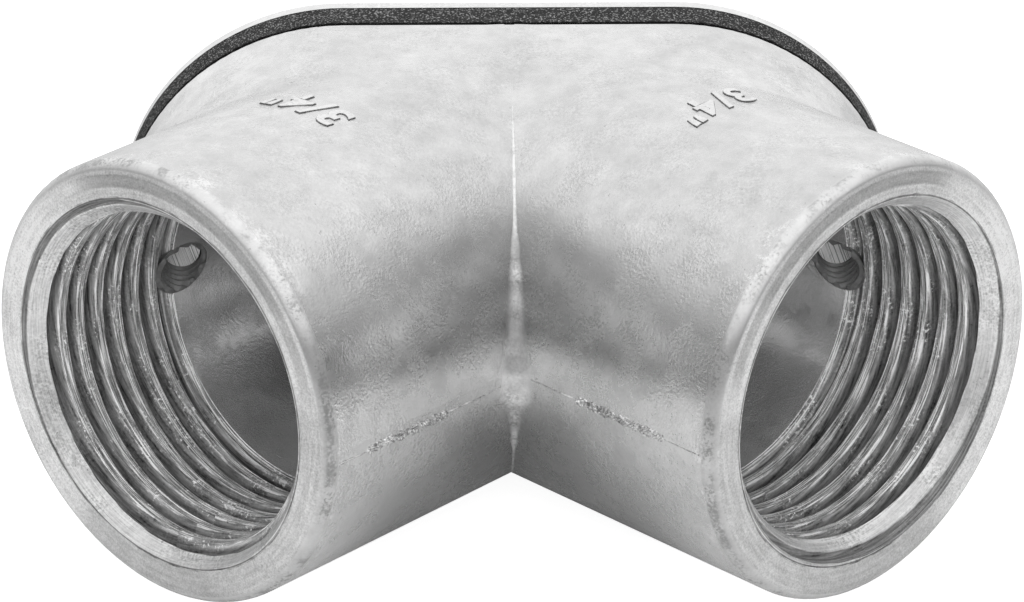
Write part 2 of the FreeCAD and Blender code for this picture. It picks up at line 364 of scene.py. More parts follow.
def start_metal(name, grain, blotch, cloud):
    """A metal material with its cast skin worked out from object coordinates."""
    material = bpy.data.materials.new(name)
    material.use_nodes = True
    tree = material.node_tree
    shader = tree.nodes["Principled BSDF"]
    shader.inputs["Metallic"].default_value = 1.0
    place = node(tree, "ShaderNodeTexCoord", (-1600, 0))
    skin = node(tree, "ShaderNodeGroup", (-1300, -200))
    skin.node_tree = CAST_SKIN
    skin.inputs["Grain"].default_value = grain
    skin.inputs["Blotch"].default_value = blotch
    skin.inputs["Cloud"].default_value = cloud
    tree.links.new(place.outputs["Object"], skin.inputs["Position"])
    where = node(tree, "ShaderNodeGroup", (-1300, 200))
    where.node_tree = ARM_PLACE
    tree.links.new(place.outputs["Object"], where.inputs["Position"])
    return material, tree, shader, skin, where


def raise_skin(tree, shader, height, strength, distance):
    """Bump the surface by a height."""
    bump = node(tree, "ShaderNodeBump", (-300, -400), Strength=strength, Distance=distance)
    tree.links.new(height, bump.inputs["Height"])
    tree.links.new(bump.outputs["Normal"], shader.inputs["Normal"])


def turned_marks(tree, spot, across, angle, fineness):
    """Tool marks on a surface turned about an arm axis."""
    marks = node(tree, "ShaderNodeGroup", spot)
    marks.node_tree = TURNING_MARKS
    marks.inputs["Fineness"].default_value = fineness
    tree.links.new(across, marks.inputs["Across"])
    tree.links.new(angle, marks.inputs["Angle"])
    return marks.outputs["Marks"]


def band(tree, spot, value, low, high, soft):
    """1 where the value is between low and high, with soft edges."""
    x, y = spot
    rise = between(tree, (x, y), value, low - soft, low)
    fall = between(tree, (x, y - 200), value, high, high + soft, 1.0, 0.0)
    return calculate(tree, "MULTIPLY", (x + 200, y), rise, fall)


def angle_band(tree, spot, angle, low, high, soft):
    """1 between two angles round an arm, in degrees, with soft edges."""
    return band(tree, spot, angle, math.radians(low), math.radians(high), math.radians(soft))


def low_shade_band(tree, spot, height):
    """1 at the low heights where painted shade darkens the arms beside the valley."""
    return band(tree, spot, height, -9.0, -3.0, 2.5)


def high_shade_band(tree, spot, height):
    """1 at the heights above the arm axes where painted shade darkens the arms beside the valley."""
    return band(tree, spot, height, 6.6, 9.0, 2.5)


def face_sheen(tree, radius, angle):
    """Painted sheen and shade of a mouth face round its axis: brighter on the outer side, a dark ring over
    the top and darker underneath."""
    outer_side = angle_band(tree, (-1000, 1900), angle, 45.0, 135.0, 25.0)
    over_top = angle_band(tree, (-1000, 2300), angle, -62.0, 22.0, 16.0)
    outer_ring = band(tree, (-1000, 2700), radius, 14.65, 15.4, 0.2)
    dark_ring = product(tree, (-600, 2300), over_top, outer_ring)
    turn_size = calculate(tree, "ABSOLUTE", (-1000, 3100), angle, None)
    underneath = between(tree, (-800, 3100), turn_size, math.radians(140.0), math.radians(165.0))
    sheen = calculate(tree, "MULTIPLY", (-600, 1900), outer_side, 0.15)
    return build_up(tree, (-400, 2100), sheen, (dark_ring, -0.24), (underneath, -0.1))


def face_marks(tree, marks):
    """Tool marks and sandy grain of a mouth face, as a number about 0."""
    turned = calculate(tree, "MULTIPLY_ADD", (-600, 1100), marks, 0.8, -0.4)
    sand = node(tree, "ShaderNodeTexNoise", (-1000, -100), Scale=7000.0, Detail=2.0, Roughness=0.6)
    tree.links.new(tree.nodes["Texture Coordinate"].outputs["Object"], sand.inputs["Vector"])
    sandy = calculate(tree, "SUBTRACT", (-800, -50), sand.outputs["Fac"], 0.5)
    return calculate(tree, "MULTIPLY_ADD", (-600, 1000), sandy, 0.9, turned)


def scored_edge(tree, radius, marks, face):
    """1 on the broken dark line round the inner edge of a mouth face."""
    inner_edge = between(tree, (-800, 1300), radius, FACE_INNER + 0.06, FACE_INNER + 0.13, 1.0, 0.0)
    broken = between(tree, (-800, 1500), marks, 0.4, 0.55, 1.0, 0.0)
    return product(tree, (-600, 1400), broken, inner_edge, face)


def wall_shade(tree, where, wall, shade):
    """A shade with the changes along the outside of the arms: painted shade in bands beside the valley, low
    down and at mid height, and painted light in a band towards the mouth."""
    split = node(tree, "ShaderNodeSeparateXYZ", (-1300, -500))
    tree.links.new(tree.nodes["Texture Coordinate"].outputs["Object"], split.inputs[0])
    aside = calculate(tree, "ABSOLUTE", (-1100, -500), split.outputs["X"], None)
    height = where.outputs["Height"]
    # Painted shade low down beside the valley.
    beside_valley = between(tree, (-900, -900), aside, 0.003, 0.0068, 1.0, 0.0)
    low_shade = product(tree, (-600, -900), beside_valley, low_shade_band(tree, (-900, -1100), height), wall)
    # Painted shade at mid height beside the valley.
    near_valley = between(tree, (-900, -1500), aside, 0.003, 0.0095, 1.0, 0.0)
    high_shade = product(tree, (-600, -1500), near_valley, high_shade_band(tree, (-900, -1700), height), wall)
    # Painted light: a lighter band at mid height towards the mouth.
    near_rim = between(tree, (-900, -2100), where.outputs["Reach"], 25.0, 31.0)
    side_band = band(tree, (-900, -2300), height, 4.0, 8.5, 2.5)
    painted_light_band = product(tree, (-600, -2100), near_rim, side_band, wall)
    return build_up(tree, (-200, 700), shade, (low_shade, LOW_VALLEY_SHADE), (high_shade, HIGH_VALLEY_SHADE), (painted_light_band, 0.12))


def cast_zinc():
    """Satin cast zinc: mottled and grainy outside, turned on the mouth face with painted sheen and shade,
    worn and painted bright behind the rim, matt and speckled dark on the rim's rounding with painted shade
    and a painted highlight where it faces the light, painted shade and light along the arms, and smoother and
    glossier in the passages."""
    material, tree, shader, skin, where = start_metal("cast_zinc", 0.7, 0.9, 0.8)
    radius, reach, angle = where.outputs["Radius"], where.outputs["Reach"], where.outputs["Angle"]
    mottled = skin.outputs["Shade"]
    wall = between(tree, (-1000, 900), radius, 13.83, 13.9)
    mouth = between(tree, (-1000, 700), reach, 34.0, 34.5)
    outside = calculate(tree, "MAXIMUM", (-800, 800), wall, mouth)
    face = between(tree, (-1000, 500), reach, MOUTH_REACH - 0.12, MOUTH_REACH - 0.05)
    marks = turned_marks(tree, (-1000, 1150), radius, angle, 3.0)
    turned = face_marks(tree, marks)
    # Wear and a painted highlight: brighter, glossier spots in a band behind the rim.
    wear_and_highlight_spots = between(tree, (-1000, 300), mottled, 0.02, 0.2)
    worn = product(tree, (-600, 500), band(tree, (-800, 500), reach, 33.5, 34.2, 0.5), wear_and_highlight_spots)
    dark_spots = between(tree, (-1000, -700), mottled, -0.2, 0.02, 1.0, 0.0)
    pitted = product(tree, (-600, -600), band(tree, (-800, -600), reach, 34.4, 34.9, 0.2), dark_spots)
    # Painted shade on the rim's rounding, and a painted highlight where it faces the light.
    rim = band(tree, (-800, 1700), reach, 34.35, 35.05, 0.3)
    lit_rim = product(tree, (-600, 3400), angle_band(tree, (-1000, 3400), angle, -48.0, 115.0, 15.0), rim)
    shade = build_up(tree, (-600, 800), 0.79, (outside, -0.03), (face, -0.08), (worn, 0.08), (pitted, -0.22))
    # Painted sheen and shade on the mouth face.
    sheen = face_sheen(tree, radius, angle)
    shade = build_up(tree, (-300, 900), shade, (sheen, face), (rim, -0.1), (lit_rim, 0.15))
    shade = wall_shade(tree, where, wall, shade)
    scored = scored_edge(tree, radius, marks, face)
    shade = calculate(tree, "MULTIPLY_ADD", (-300, 500), scored, -0.5, shade)
    inside = calculate(tree, "SUBTRACT", (-1000, 100), 1.0, outside)
    grainy = calculate(tree, "MULTIPLY_ADD", (-900, 200), inside, -0.15, 0.45)
    mottle = build_up(tree, (-600, 100), 1.0, (mottled, grainy), (turned, face))
    tree.links.new(product(tree, (-200, 300), shade, mottle), shader.inputs["Base Color"])
    gloss = build_up(tree, (-600, -50), 0.14, (outside, 0.12), (face, 0.14), (worn, -0.05), (rim, 0.18))
    uneven = calculate(tree, "MULTIPLY_ADD", (-400, -120), outside, -0.22, -0.03)
    varied = calculate(tree, "MULTIPLY_ADD", (-200, -50), mottled, uneven, gloss)
    tree.links.new(varied, shader.inputs["Roughness"])
    metal = build_up(tree, (-400, -250), 0.75, (outside, 0.25), (face, -0.4), (lit_rim, -0.4))
    tree.links.new(metal, shader.inputs["Metallic"])
    height = calculate(tree, "MULTIPLY_ADD", (-200, -400), turned, face, skin.outputs["Height"])
    raise_skin(tree, shader, height, 0.5, 0.00007)
    return material


def lead_in_place(tree, radius, reach):
    """1 on the lead-in cone of a mouth."""
    over_cone = calculate(tree, "MULTIPLY_ADD", (-1000, 600), reach, -LEAD_IN_SLOPE, radius)
    cone_level = LEAD_IN_RADIUS - LEAD_IN_SLOPE * LEAD_IN_START
    on_cone = between(tree, (-800, 600), over_cone, cone_level + 0.02, cone_level + 0.09, 1.0, 0.0)
    near_mouth = between(tree, (-800, 800), reach, 33.5, 33.8)
    return product(tree, (-600, 700), on_cone, near_mouth)


def end_ridges(tree, reach):
    """A fine wave of painted light and shade along the ridges at the inner end of a conduit thread, and 0
    elsewhere.
    """
    wave = calculate(tree, "MULTIPLY", (-1000, -400), reach, TURN / RIDGE_PITCH)
    wave = calculate(tree, "SINE", (-800, -400), wave, None)
    at_end = between(tree, (-800, -600), reach, THREAD_END, THREAD_END + 0.4, 1.0, 0.0)
    return product(tree, (-600, -500), wave, at_end)


def cut_thread():
    """Cut zinc thread: pale crests with broken painted highlight lines and bright specks, grooves darkened
    with painted shade, streaks along the cut, painted light and shade on the fine ridges at the inner end and
    a paler lead-in cone."""
    material, tree, shader, skin, where = start_metal("cut_thread", 0.9, 0.5, 0.1)
    radius, reach, angle = where.outputs["Radius"], where.outputs["Reach"], where.outputs["Angle"]
    crest = between(tree, (-1000, 300), radius, 12.5, 12.95, 1.0, 0.0)
    edge = between(tree, (-1000, 150), radius, 12.34, 12.5, 1.0, 0.0)
    ridges = end_ridges(tree, reach)
    cone = lead_in_place(tree, radius, reach)
    pale = calculate(tree, "MAXIMUM", (-500, 500), crest, cone)
    marks = turned_marks(tree, (-1000, 0), reach, angle, 13.0)
    broken = between(tree, (-800, 0), marks, 0.48, 0.62)
    # Painted highlight: broken bright lines along the crest edges.
    line = product(tree, (-600, 300), edge, broken)
    # Painted shade: the grooves stay darker than the crests and the lead-in cone; painted light and shade on
    # the end ridges.
    shade = build_up(tree, (-400, 650), 0.22, (pale, 0.22), (line, 0.6), (ridges, 0.16))
    shade = calculate(tree, "MAXIMUM", (-200, 600), shade, 0.1)
    shade = calculate(tree, "MULTIPLY_ADD", (-200, 500), cone, 0.34, shade)
    depth = calculate(tree, "MULTIPLY_ADD", (-800, 200), cone, -3.0, 4.4)
    streaky = calculate(tree, "SUBTRACT", (-700, 100), marks, 0.5)
    streaky = calculate(tree, "MULTIPLY_ADD", (-600, 100), streaky, depth, 1.0)
    streaky = calculate(tree, "MAXIMUM", (-500, 100), streaky, 0.25)
    mottle = calculate(tree, "MULTIPLY_ADD", (-400, 0), skin.outputs["Shade"], 1.2, streaky)
    colour = product(tree, (0, 300), shade, mottle)
    bright_specks = between(tree, (-600, -200), skin.outputs["Shade"], 0.15, 0.22)
    bright = product(tree, (-200, 100), bright_specks, pale)
    colour = calculate(tree, "MULTIPLY_ADD", (200, 300), bright, 0.6, colour)
    tree.links.new(calculate(tree, "MINIMUM", (400, 300), colour, 0.95), shader.inputs["Base Color"])
    lines_and_specks = calculate(tree, "MAXIMUM", (-200, -200), line, bright)
    metal = build_up(tree, (-200, -100), 0.4, (cone, 0.3), (lines_and_specks, -0.4))
    tree.links.new(metal, shader.inputs["Metallic"])
    shader.inputs["Roughness"].default_value = 0.38
    height = calculate(tree, "MULTIPLY_ADD", (-400, -350), skin.outputs["Height"], 0.5, marks)
    raise_skin(tree, shader, height, 0.5, 0.00006)
    return material


def plain_metal(name, dark, light, roughness, metallic=1.0):
    """A grainy metal that varies between two shades."""
    material, tree, shader, skin, _ = start_metal(name, 0.6, 0.3, 0.2)
    shade = between(tree, (-800, 100), skin.outputs["Shade"], -0.12, 0.12, dark, light)
    tree.links.new(shade, shader.inputs["Base Color"])
    shader.inputs["Roughness"].default_value = roughness
    shader.inputs["Metallic"].default_value = metallic
    raise_skin(tree, shader, skin.outputs["Height"], 0.3, 0.00005)
    return material


def rough_valley():
    """Cast skin of the valley between the arms: like the arms at its edges, with their painted shade, rougher
    along its middle, and painted lighter there high up, where it is a thin line, and low down, and a little
    darker between."""
    material, tree, shader, skin, where = start_metal("rough_valley", 0.7, 0.9, 0.8)
    middle = node(tree, "ShaderNodeAttribute", (-1300, 500), attribute_name="middle").outputs["Fac"]
    height = where.outputs["Height"]
    # Painted light along the valley's middle: lighter high up and low down, a little darker between.
    painted_light_high = between(tree, (-1000, 500), height, 8.5, 10.5, -0.08, 0.2)
    painted_light_low = between(tree, (-1000, 300), height, -7.0, -3.5, 0.24, 0.0)
    paler = calculate(tree, "ADD", (-800, 400), painted_light_high, painted_light_low)
    # Painted shade of the arms beside the valley, carried onto the valley's edges.
    low_shade = calculate(tree, "MULTIPLY", (-800, 900), low_shade_band(tree, (-1000, 800), height), LOW_VALLEY_SHADE)
    high_shade = high_shade_band(tree, (-1000, 1200), height)
    darker = calculate(tree, "MULTIPLY_ADD", (-700, 900), high_shade, HIGH_VALLEY_SHADE, low_shade)
    at_edges = calculate(tree, "SUBTRACT", (-800, 700), 1.0, middle)
    shade = build_up(tree, (-600, 400), 0.76, (middle, paler), (darker, at_edges))
    grainy = calculate(tree, "MULTIPLY_ADD", (-800, 100), middle, 1.1, 0.45)
    mottle = calculate(tree, "MULTIPLY_ADD", (-600, 100), skin.outputs["Shade"], grainy, 1.0)
    tree.links.new(product(tree, (-400, 200), shade, mottle), shader.inputs["Base Color"])
    gloss = calculate(tree, "MULTIPLY_ADD", (-600, -50), middle, 0.2, 0.26)
    varied = calculate(tree, "MULTIPLY_ADD", (-400, -50), skin.outputs["Shade"], -0.25, gloss)
    tree.links.new(varied, shader.inputs["Roughness"])
    metal = calculate(tree, "MULTIPLY_ADD", (-400, -250), middle, -0.08, 1.0)
    tree.links.new(metal, shader.inputs["Metallic"])
    raise_skin(tree, shader, skin.outputs["Height"], 0.5, 0.00007)
    return material


def screw_finish():
    """Plated screw steel, with a bright streaked break at the sheared tip and a neck behind it darkened with
    painted shade.
    """
    material, tree, shader, skin, _ = start_metal("plated_steel", 0.4, 0.3, 0.2)
    split = node(tree, "ShaderNodeSeparateXYZ", (-1000, 400))
    tree.links.new(tree.nodes["Texture Coordinate"].outputs["Object"], split.inputs[0])
    tip_place = MM * (AXES_MEET[1] + SCREW_TIP)
    tip = between(tree, (-800, 400), split.outputs["Y"], tip_place + 0.0002, tip_place + 0.0003, 1.0, 0.0)
    across = calculate(tree, "MULTIPLY_ADD", (-800, 700), split.outputs["Z"], 0.35, split.outputs["X"])
    lines = node(tree, "ShaderNodeTexNoise", (-600, 700), noise_dimensions="1D", Scale=11000.0, Detail=2.0)
    tree.links.new(across, lines.inputs["W"])
    sheared = between(tree, (-400, 700), lines.outputs["Fac"], 0.38, 0.5, -0.4, 0.25)
    shade = calculate(tree, "MULTIPLY_ADD", (-600, 400), tip, sheared, 0.75)
    # Painted shade on the neck just behind the tip.
    shaded_neck = band(tree, (-800, 1000), split.outputs["Y"], tip_place + 0.0003, tip_place + 0.0007, 0.0001)
    shade = calculate(tree, "MULTIPLY_ADD", (-500, 400), shaded_neck, -0.62, shade)
    mottle = calculate(tree, "MULTIPLY_ADD", (-600, 100), skin.outputs["Shade"], 0.6, 1.0)
    tree.links.new(calculate(tree, "MULTIPLY", (-400, 200), shade, mottle), shader.inputs["Base Color"])
    tree.links.new(calculate(tree, "MULTIPLY_ADD", (-400, 0), tip, -0.95, 1.0), shader.inputs["Metallic"])
    shader.inputs["Roughness"].default_value = 0.28
    raise_skin(tree, shader, skin.outputs["Height"], 0.3, 0.00005)
    return material


def speckled_rubber():
    """Black sheet rubber with pale specks, and deep shade where it meets the casting and the cover."""
    material = bpy.data.materials.new("speckled_rubber")
    material.use_nodes = True
    tree = material.node_tree
    shader = tree.nodes["Principled BSDF"]
    shader.inputs["Roughness"].default_value = 0.85
    shader.inputs["Specular IOR Level"].default_value = 0.05
    place = node(tree, "ShaderNodeTexCoord", (-1300, 0))
    specks = node(tree, "ShaderNodeTexNoise", (-1000, 100), Scale=7000.0, Detail=1.0)
    patches = node(tree, "ShaderNodeTexNoise", (-1000, -150), Scale=900.0, Detail=3.0)
    for noise in (specks, patches):
        tree.links.new(place.outputs["Object"], noise.inputs["Vector"])
    split = node(tree, "ShaderNodeSeparateXYZ", (-1000, -400))
    tree.links.new(place.outputs["Object"], split.inputs[0])
    pale = between(tree, (-750, 100), specks.outputs["Fac"], 0.53, 0.7, 0.045, 0.36)
    level = calculate(tree, "MULTIPLY_ADD", (-750, -150), patches.outputs["Fac"], 0.9, 0.5)
    depth = split.outputs["Y"]
    ragged = calculate(tree, "MULTIPLY_ADD", (-750, -400), patches.outputs["Fac"], -0.0006, depth)
    seat = MM * (AXES_MEET[1] + SEAT)
    clear = between(tree, (-500, -400), ragged, seat - 0.00005, seat + 0.0003, 0.02, 1.0)
    top = MM * (AXES_MEET[1] + GASKET_OUTER)
    open_edge = between(tree, (-500, -600), depth, top - 0.0002, top - 0.00002, 1.0, 0.15)
    shade = product(tree, (-500, 0), pale, level, open_edge, clear)
    tree.links.new(shade, shader.inputs["Base Color"])
    return material


CAST_ZINC = cast_zinc()
CUT_THREAD = cut_thread()
PLATED_SHEET = plain_metal("plated_sheet", 0.82, 0.98, 0.35)
PLATED_STEEL = screw_finish()
LETTER_TOP = plain_metal("letter_top", 0.8, 0.94, 0.3)
# Painted shadow: the dark foot that outlines the raised letters.
LETTER_SHADOW = plain_metal("letter_shadow", 0.2, 0.3, 0.5)
# Painted shade: a dark thread wall, for the shade inside the screw holes.
SHADED_TAPPED_WALL = plain_metal("shaded_tapped_wall", 0.27, 0.36, 0.3, 0.5)
TORN_FLASH = plain_metal("torn_flash", 0.36, 1.0, 0.25)
ROUGH_VALLEY = rough_valley()
SPECKLED_RUBBER = speckled_rubber()


def dress_node(name, material):
    """Give a CAD node its finish."""
    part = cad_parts[name]
    part.data.materials.clear()
    part.data.materials.append(material)


dress_node("elbow_body", CAST_ZINC)
dress_node("cover_gasket", SPECKLED_RUBBER)
dress_node("cover_plate", PLATED_SHEET)


def thread_form(turn):
    """Height of a cut thread over its root, 0 to 1, for a place in turns: a flat crest and a flat root with
    sloping flanks between."""
    place = np.abs((turn % 1.0) - 0.5) * 2.0
    return smooth(0.26, 0.64, place)


def screw_cylinder(name, side, radius, low, high):
    """A closed cylinder along one screw's axis."""
    angle = np.linspace(0.0, TURN, 65)[:-1]
    ring = np.stack([radius * np.cos(angle), 0.0 * angle, radius * np.sin(angle)], axis=-1)
    ring[:, 0] += SIDES[side] * SCREW_OFFSET
    return closed_tube(name, np.stack([ring + BACK * low, ring + BACK * high]), CUT_THREAD)


def conduit_thread(side):
    """The internal conduit thread of one mouth: a ring whose inside follows a right-hand helix.
    Its radius is the wall less the thread form at (reach / pitch - turn), cut off by a lead-in cone at the
    mouth and by the runout cone at the other end; its outside is hidden in the wall."""
    out, _ = arm_directions(side)
    second = np.cross(out, UP)
    angle = np.linspace(0.0, TURN, 241)
    reach = np.linspace(RUNOUT_END + 0.05, MOUTH_REACH - 0.01, 230)
    seed = 11 if side == "left" else 12
    sine = np.sin(angle)[:, None]
    cosine = np.cos(angle)[:, None]
    worn = 0.03 * ripple(seed, 12, 6.0 * sine, 6.0 * cosine, 3.0 * reach[None, :])
    worn = worn + 0.03 * ripple(seed + 20, 12, 3.0 * sine, 3.0 * cosine, 16.0 * reach[None, :])
    start = GROOVE_CENTRE / CONDUIT_PITCH - FIRST_GROOVE[side] / 360.0 - 0.5
    form = thread_form(reach[None, :] / CONDUIT_PITCH - angle[:, None] / TURN - start)
    root = THREAD_WALL - 0.02 + np.maximum(reach - LEAD_IN_START, 0.0)
    radius = root[None, :] - (THREAD_HEIGHT + worn) * form
    lead_in = LEAD_IN_RADIUS - LEAD_IN_SLOPE * (LEAD_IN_START - reach)
    fade = np.clip((THREAD_END - reach) / (THREAD_END - RUNOUT_END), 0.0, 1.0)
    steps = 0.05 * np.sin(TURN * reach / RIDGE_PITCH) * smooth(24.2, 23.4, reach)
    runout = root - (THREAD_WALL - BORE_RADIUS) * fade - np.maximum(steps, 0.0)
    radius = np.minimum(np.maximum(radius, lead_in[None, :]), runout[None, :])
    across = cosine[:, :, None] * UP + sine[:, :, None] * second
    inside = radius[:, :, None] * across + reach[None, :, None] * out
    back_reach = np.array([MOUTH_REACH - 0.01, RUNOUT_END + 0.05])
    back = THREAD_BACK * across + back_reach[None, :, None] * out
    ring = closed_tube(f"{side}_conduit_thread", np.concatenate([inside, back], axis=1), CUT_THREAD)
    cut_away(ring, screw_cylinder("hole_cutter", side, TAPPED_RADIUS, -12.0, 2.0))
    settle(ring, "elbow", 40.0)


def screw_turn(y, angle):
    """Turns of the cover screws' right-hand helix at a place along and round the screw axis."""
    return y / SCREW_PITCH - angle / TURN


def tapped_hole(side):
    """Thread in one screw hole: a thin ring whose inside follows the screw's helix with a little clearance,
    from the cover seat to where the hole breaks into the passage, with a ragged edge there."""
    centre = SIDES[side] * SCREW_OFFSET
    angle = np.linspace(0.0, TURN, SCREW_STEPS)
    share = np.linspace(0.0, 1.0, 180)

    def breakout(radius, ragged):
        """Where the hole's wall at a radius meets the passage, with its burrs."""
        side_distance = np.abs(centre + radius * np.sin(angle))
        height = radius * np.cos(angle)
        bore = BORE_RADIUS + 0.02
        edge = -side_distance + math.sqrt(2.0) * np.sqrt(bore**2 - height**2)
        burr = ripple(21, 10, 7.0 * np.sin(angle), 7.0 * np.cos(angle))
        return edge - ragged * np.maximum(burr, 0.0)

    top = SEAT - 0.02
    y = top + share[None, :] * (breakout(1.62, 0.06)[:, None] - top)
    radius = HOLE_CORE + HOLE_THREAD * thread_form(screw_turn(y, angle[:, None]))
    back_y = np.stack([breakout(HOLE_BACK, 0.0), np.full(SCREW_STEPS, top)], axis=1)
    y = np.concatenate([y, back_y], axis=1)
    radius = np.concatenate([radius, np.full((SCREW_STEPS, 2), HOLE_BACK)], axis=1)
    loops = np.stack(
        [centre + radius * np.sin(angle)[:, None], y, radius * np.cos(angle)[:, None]], axis=-1
    )
    ring = closed_tube(f"{side}_screw_hole_thread", loops, SHADED_TAPPED_WALL)
    settle(ring, "elbow", 40.0)


def cover_screw(side):
    """One slotted pan-head screw turned about its axis: ragged sheared tip, right-hand thread whose radius
    follows the thread form along the helix, round-edged head, and a slot cut across it."""
    centre = SIDES[side] * SCREW_OFFSET
    angle = np.linspace(0.0, TURN, SCREW_STEPS)
    shear = 1.0 if side == "left" else -1.0
    tip_rho = np.linspace(0.0, TIP_RADIUS, 30)
    tip_x = tip_rho[None, :] * np.sin(angle)[:, None]
    tip_z = tip_rho[None, :] * np.cos(angle)[:, None]
    across_shear = shear * tip_x + 0.35 * tip_z
    torn = 0.012 * ripple(31, 8, 14.0 * across_shear) + 0.02 * ripple(32, 8, 2.5 * tip_x, 2.5 * tip_z)
    lip = 0.14 * smooth(0.75, 1.25, tip_z - 0.5 * shear * tip_x)
    tip_y = SCREW_TIP + 0.16 - (lip + torn) * smooth(1.38, 1.2, tip_rho)[None, :]
    shank_y = np.linspace(SCREW_TIP + 0.25, COVER_OUTER - 0.02, 210)
    form = thread_form(screw_turn(shank_y[None, :], angle[:, None]))
    form = form * smooth(SCREW_TIP + 0.3, SCREW_TIP + 0.9, shank_y)[None, :]
    point = TIP_RADIUS + 0.8 * (shank_y - SCREW_TIP - 0.2)
    shank_rho = np.minimum(SCREW_CORE + SCREW_THREAD * form, point[None, :])
    round_off = np.radians(np.linspace(0.0, 82.0, 10))
    edge_rho = HEAD_RADIUS - HEAD_ROUND + HEAD_ROUND * np.cos(round_off)
    edge_y = HEAD_HEIGHT - HEAD_ROUND + HEAD_ROUND * np.sin(round_off)
    head_rho = np.concatenate([[HEAD_RADIUS], edge_rho, [1.0, 0.0]])
    head_y = np.concatenate([[0.0], edge_y, [HEAD_HEIGHT, HEAD_HEIGHT]])
    rows = len(angle)
    rho = np.concatenate([np.tile(tip_rho, (rows, 1)), shank_rho, np.tile(head_rho, (rows, 1))], axis=1)
    y = np.concatenate([tip_y, np.tile(shank_y, (rows, 1)), np.tile(COVER_OUTER + head_y, (rows, 1))], axis=1)
    points = np.stack([centre + rho * np.sin(angle)[:, None], y, rho * np.cos(angle)[:, None]], axis=-1)
    columns = points.shape[1]
    ring = points[:-1].reshape(-1, 3)
    screw = make_piece(f"{side}_screw", ring, grid_faces(rows - 1, columns, True, False), PLATED_STEEL)
    turned = math.radians(SLOT_TURNS[side])
    long_way = np.array([math.cos(turned), 0.0, -math.sin(turned)])
    wide_way = np.array([math.sin(turned), 0.0, math.cos(turned)])
    corners = np.array([[-1.0, -1.0], [1.0, -1.0], [1.0, 1.0], [-1.0, 1.0]])
    slot = SLOT_HALF_LENGTH * corners[:, :1] * long_way + SLOT_HALF_WIDTH * corners[:, 1:] * wide_way
    slot = slot + np.array([centre, COVER_OUTER, 0.0])
    bar = np.stack([slot + BACK * (HEAD_HEIGHT - SLOT_DEPTH), slot + BACK * (HEAD_HEIGHT + SLOT_DEPTH)])
    cut_away(screw, closed_tube("slot_cutter", bar, PLATED_STEEL))
    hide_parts(f"{side}_cover_screw")
    settle(screw, f"{side}_screw", 35.0)


def crease_blend():
    """Rounded valley between the arms: a ball rolls along both arms, small at the top, large at mid height
    and small again below. At each angle round the arms its centre lies on the mirror plane, and the blend is
    its arc between the two touching points."""
    degrees = np.linspace(26.0, 174.0, 160)
    angle = np.radians(degrees)
    ball = 0.26 + 0.82 * smooth(50.0, 72.0, degrees) + 0.8 * smooth(80.0, 93.0, degrees)
    ball = ball - 1.25 * smooth(95.0, 108.0, degrees) - 0.45 * smooth(106.0, 122.0, degrees)
    ball = ball * smooth(20.0, 40.0, degrees) * (1.0 + 0.1 * ripple(41, 6, degrees / 1.5))
    reach = (ARM_RADIUS + ball) * np.sin(angle)
    radius = arm_radius_at(reach)
    forward = -math.sqrt(2.0) * (radius + ball) * np.sin(angle)
    centre = np.stack([0.0 * angle, forward, (radius + ball) * np.cos(angle)], axis=-1)
    _, left_in = arm_directions("left")
    _, right_in = arm_directions("right")
    left = -(np.cos(angle)[:, None] * UP + np.sin(angle)[:, None] * left_in)
    right = -(np.cos(angle)[:, None] * UP + np.sin(angle)[:, None] * right_in)
    share = np.linspace(-0.04, 1.04, 19)[None, :, None]
    spread = np.arccos(np.clip(np.einsum("ij,ij->i", left, right), -1.0, 1.0))[:, None, None]
    arc = np.sin((1.0 - share) * spread) * left[:, None, :] + np.sin(share * spread) * right[:, None, :]
    arc = arc / np.sin(spread)
    front = centre[:, None, :] + (ball[:, None, None] + 0.004) * arc
    deep = centre + (ball[:, None] * 1.6 + 0.5) * arc[:, 9, :]
    aside = np.abs(share[0, :, 0] - 0.5) * 2.0
    middle = np.append(smooth(1.0, 0.2, aside), 0.0)
    loops = np.concatenate([front, deep[:, None, :]], axis=1)
    blend = closed_tube("crease_blend", loops, ROUGH_VALLEY, middle)
    settle(blend, "elbow", 50.0)


def parting_line(side, level, flash_start, flash_end):
    """Line left by the die halves on the inner side of one arm: a strip along the arm whose height over it is
    a thin ridge, and rough trimmed flash between two reaches."""
    out, inward = arm_directions(side)
    reach = np.linspace(16.6, 34.0, 700)[:, None]
    wide = np.linspace(-STRIP_HALF_WIDTH, STRIP_HALF_WIDTH, STRIP_COLUMNS)[None, :]
    seed = 51 if side == "left" else 52
    wander = level + 0.06 * ripple(seed, 5, reach * 0.9)
    here = smooth(flash_start - 0.3, flash_start + 0.2, reach)
    here = here * smooth(flash_end + 0.3, flash_end - 0.2, reach)
    lumps = ripple(seed + 2, 18, reach * 9.0, wide * 11.0)
    half = 0.33 + 0.07 * ripple(seed + 4, 5, reach * 3.0)
    shoulder = np.exp(-((np.abs(wide) / half) ** 6))
    ditch = np.exp(-(((np.abs(wide) - half - 0.08) / 0.07) ** 2))
    height = 0.07 * np.exp(-((wide / 0.06) ** 2)) * (1.0 + 0.4 * ripple(seed + 6, 6, reach * 3.0))
    height = height + here * (shoulder * (0.09 + 0.09 * lumps) - 0.03 * ditch) - 0.035
    height = np.where(np.abs(wide) > STRIP_HALF_WIDTH - 0.01, -0.1, height)
    radius = arm_radius_at(reach) + height
    z = wander + wide
    sideways = np.sqrt(radius**2 - z**2)
    skin = reach[:, :, None] * out + sideways[:, :, None] * inward + z[:, :, None] * UP
    along_middle = sideways[:, STRIP_COLUMNS // 2, None]
    deep = reach * out + (along_middle - 0.5) * inward + wander * UP
    loops = np.concatenate([skin, deep[:, None, :]], axis=1)
    strip = closed_tube(f"{side}_parting_line", loops, TORN_FLASH)
    settle(strip, "elbow", 60.0)


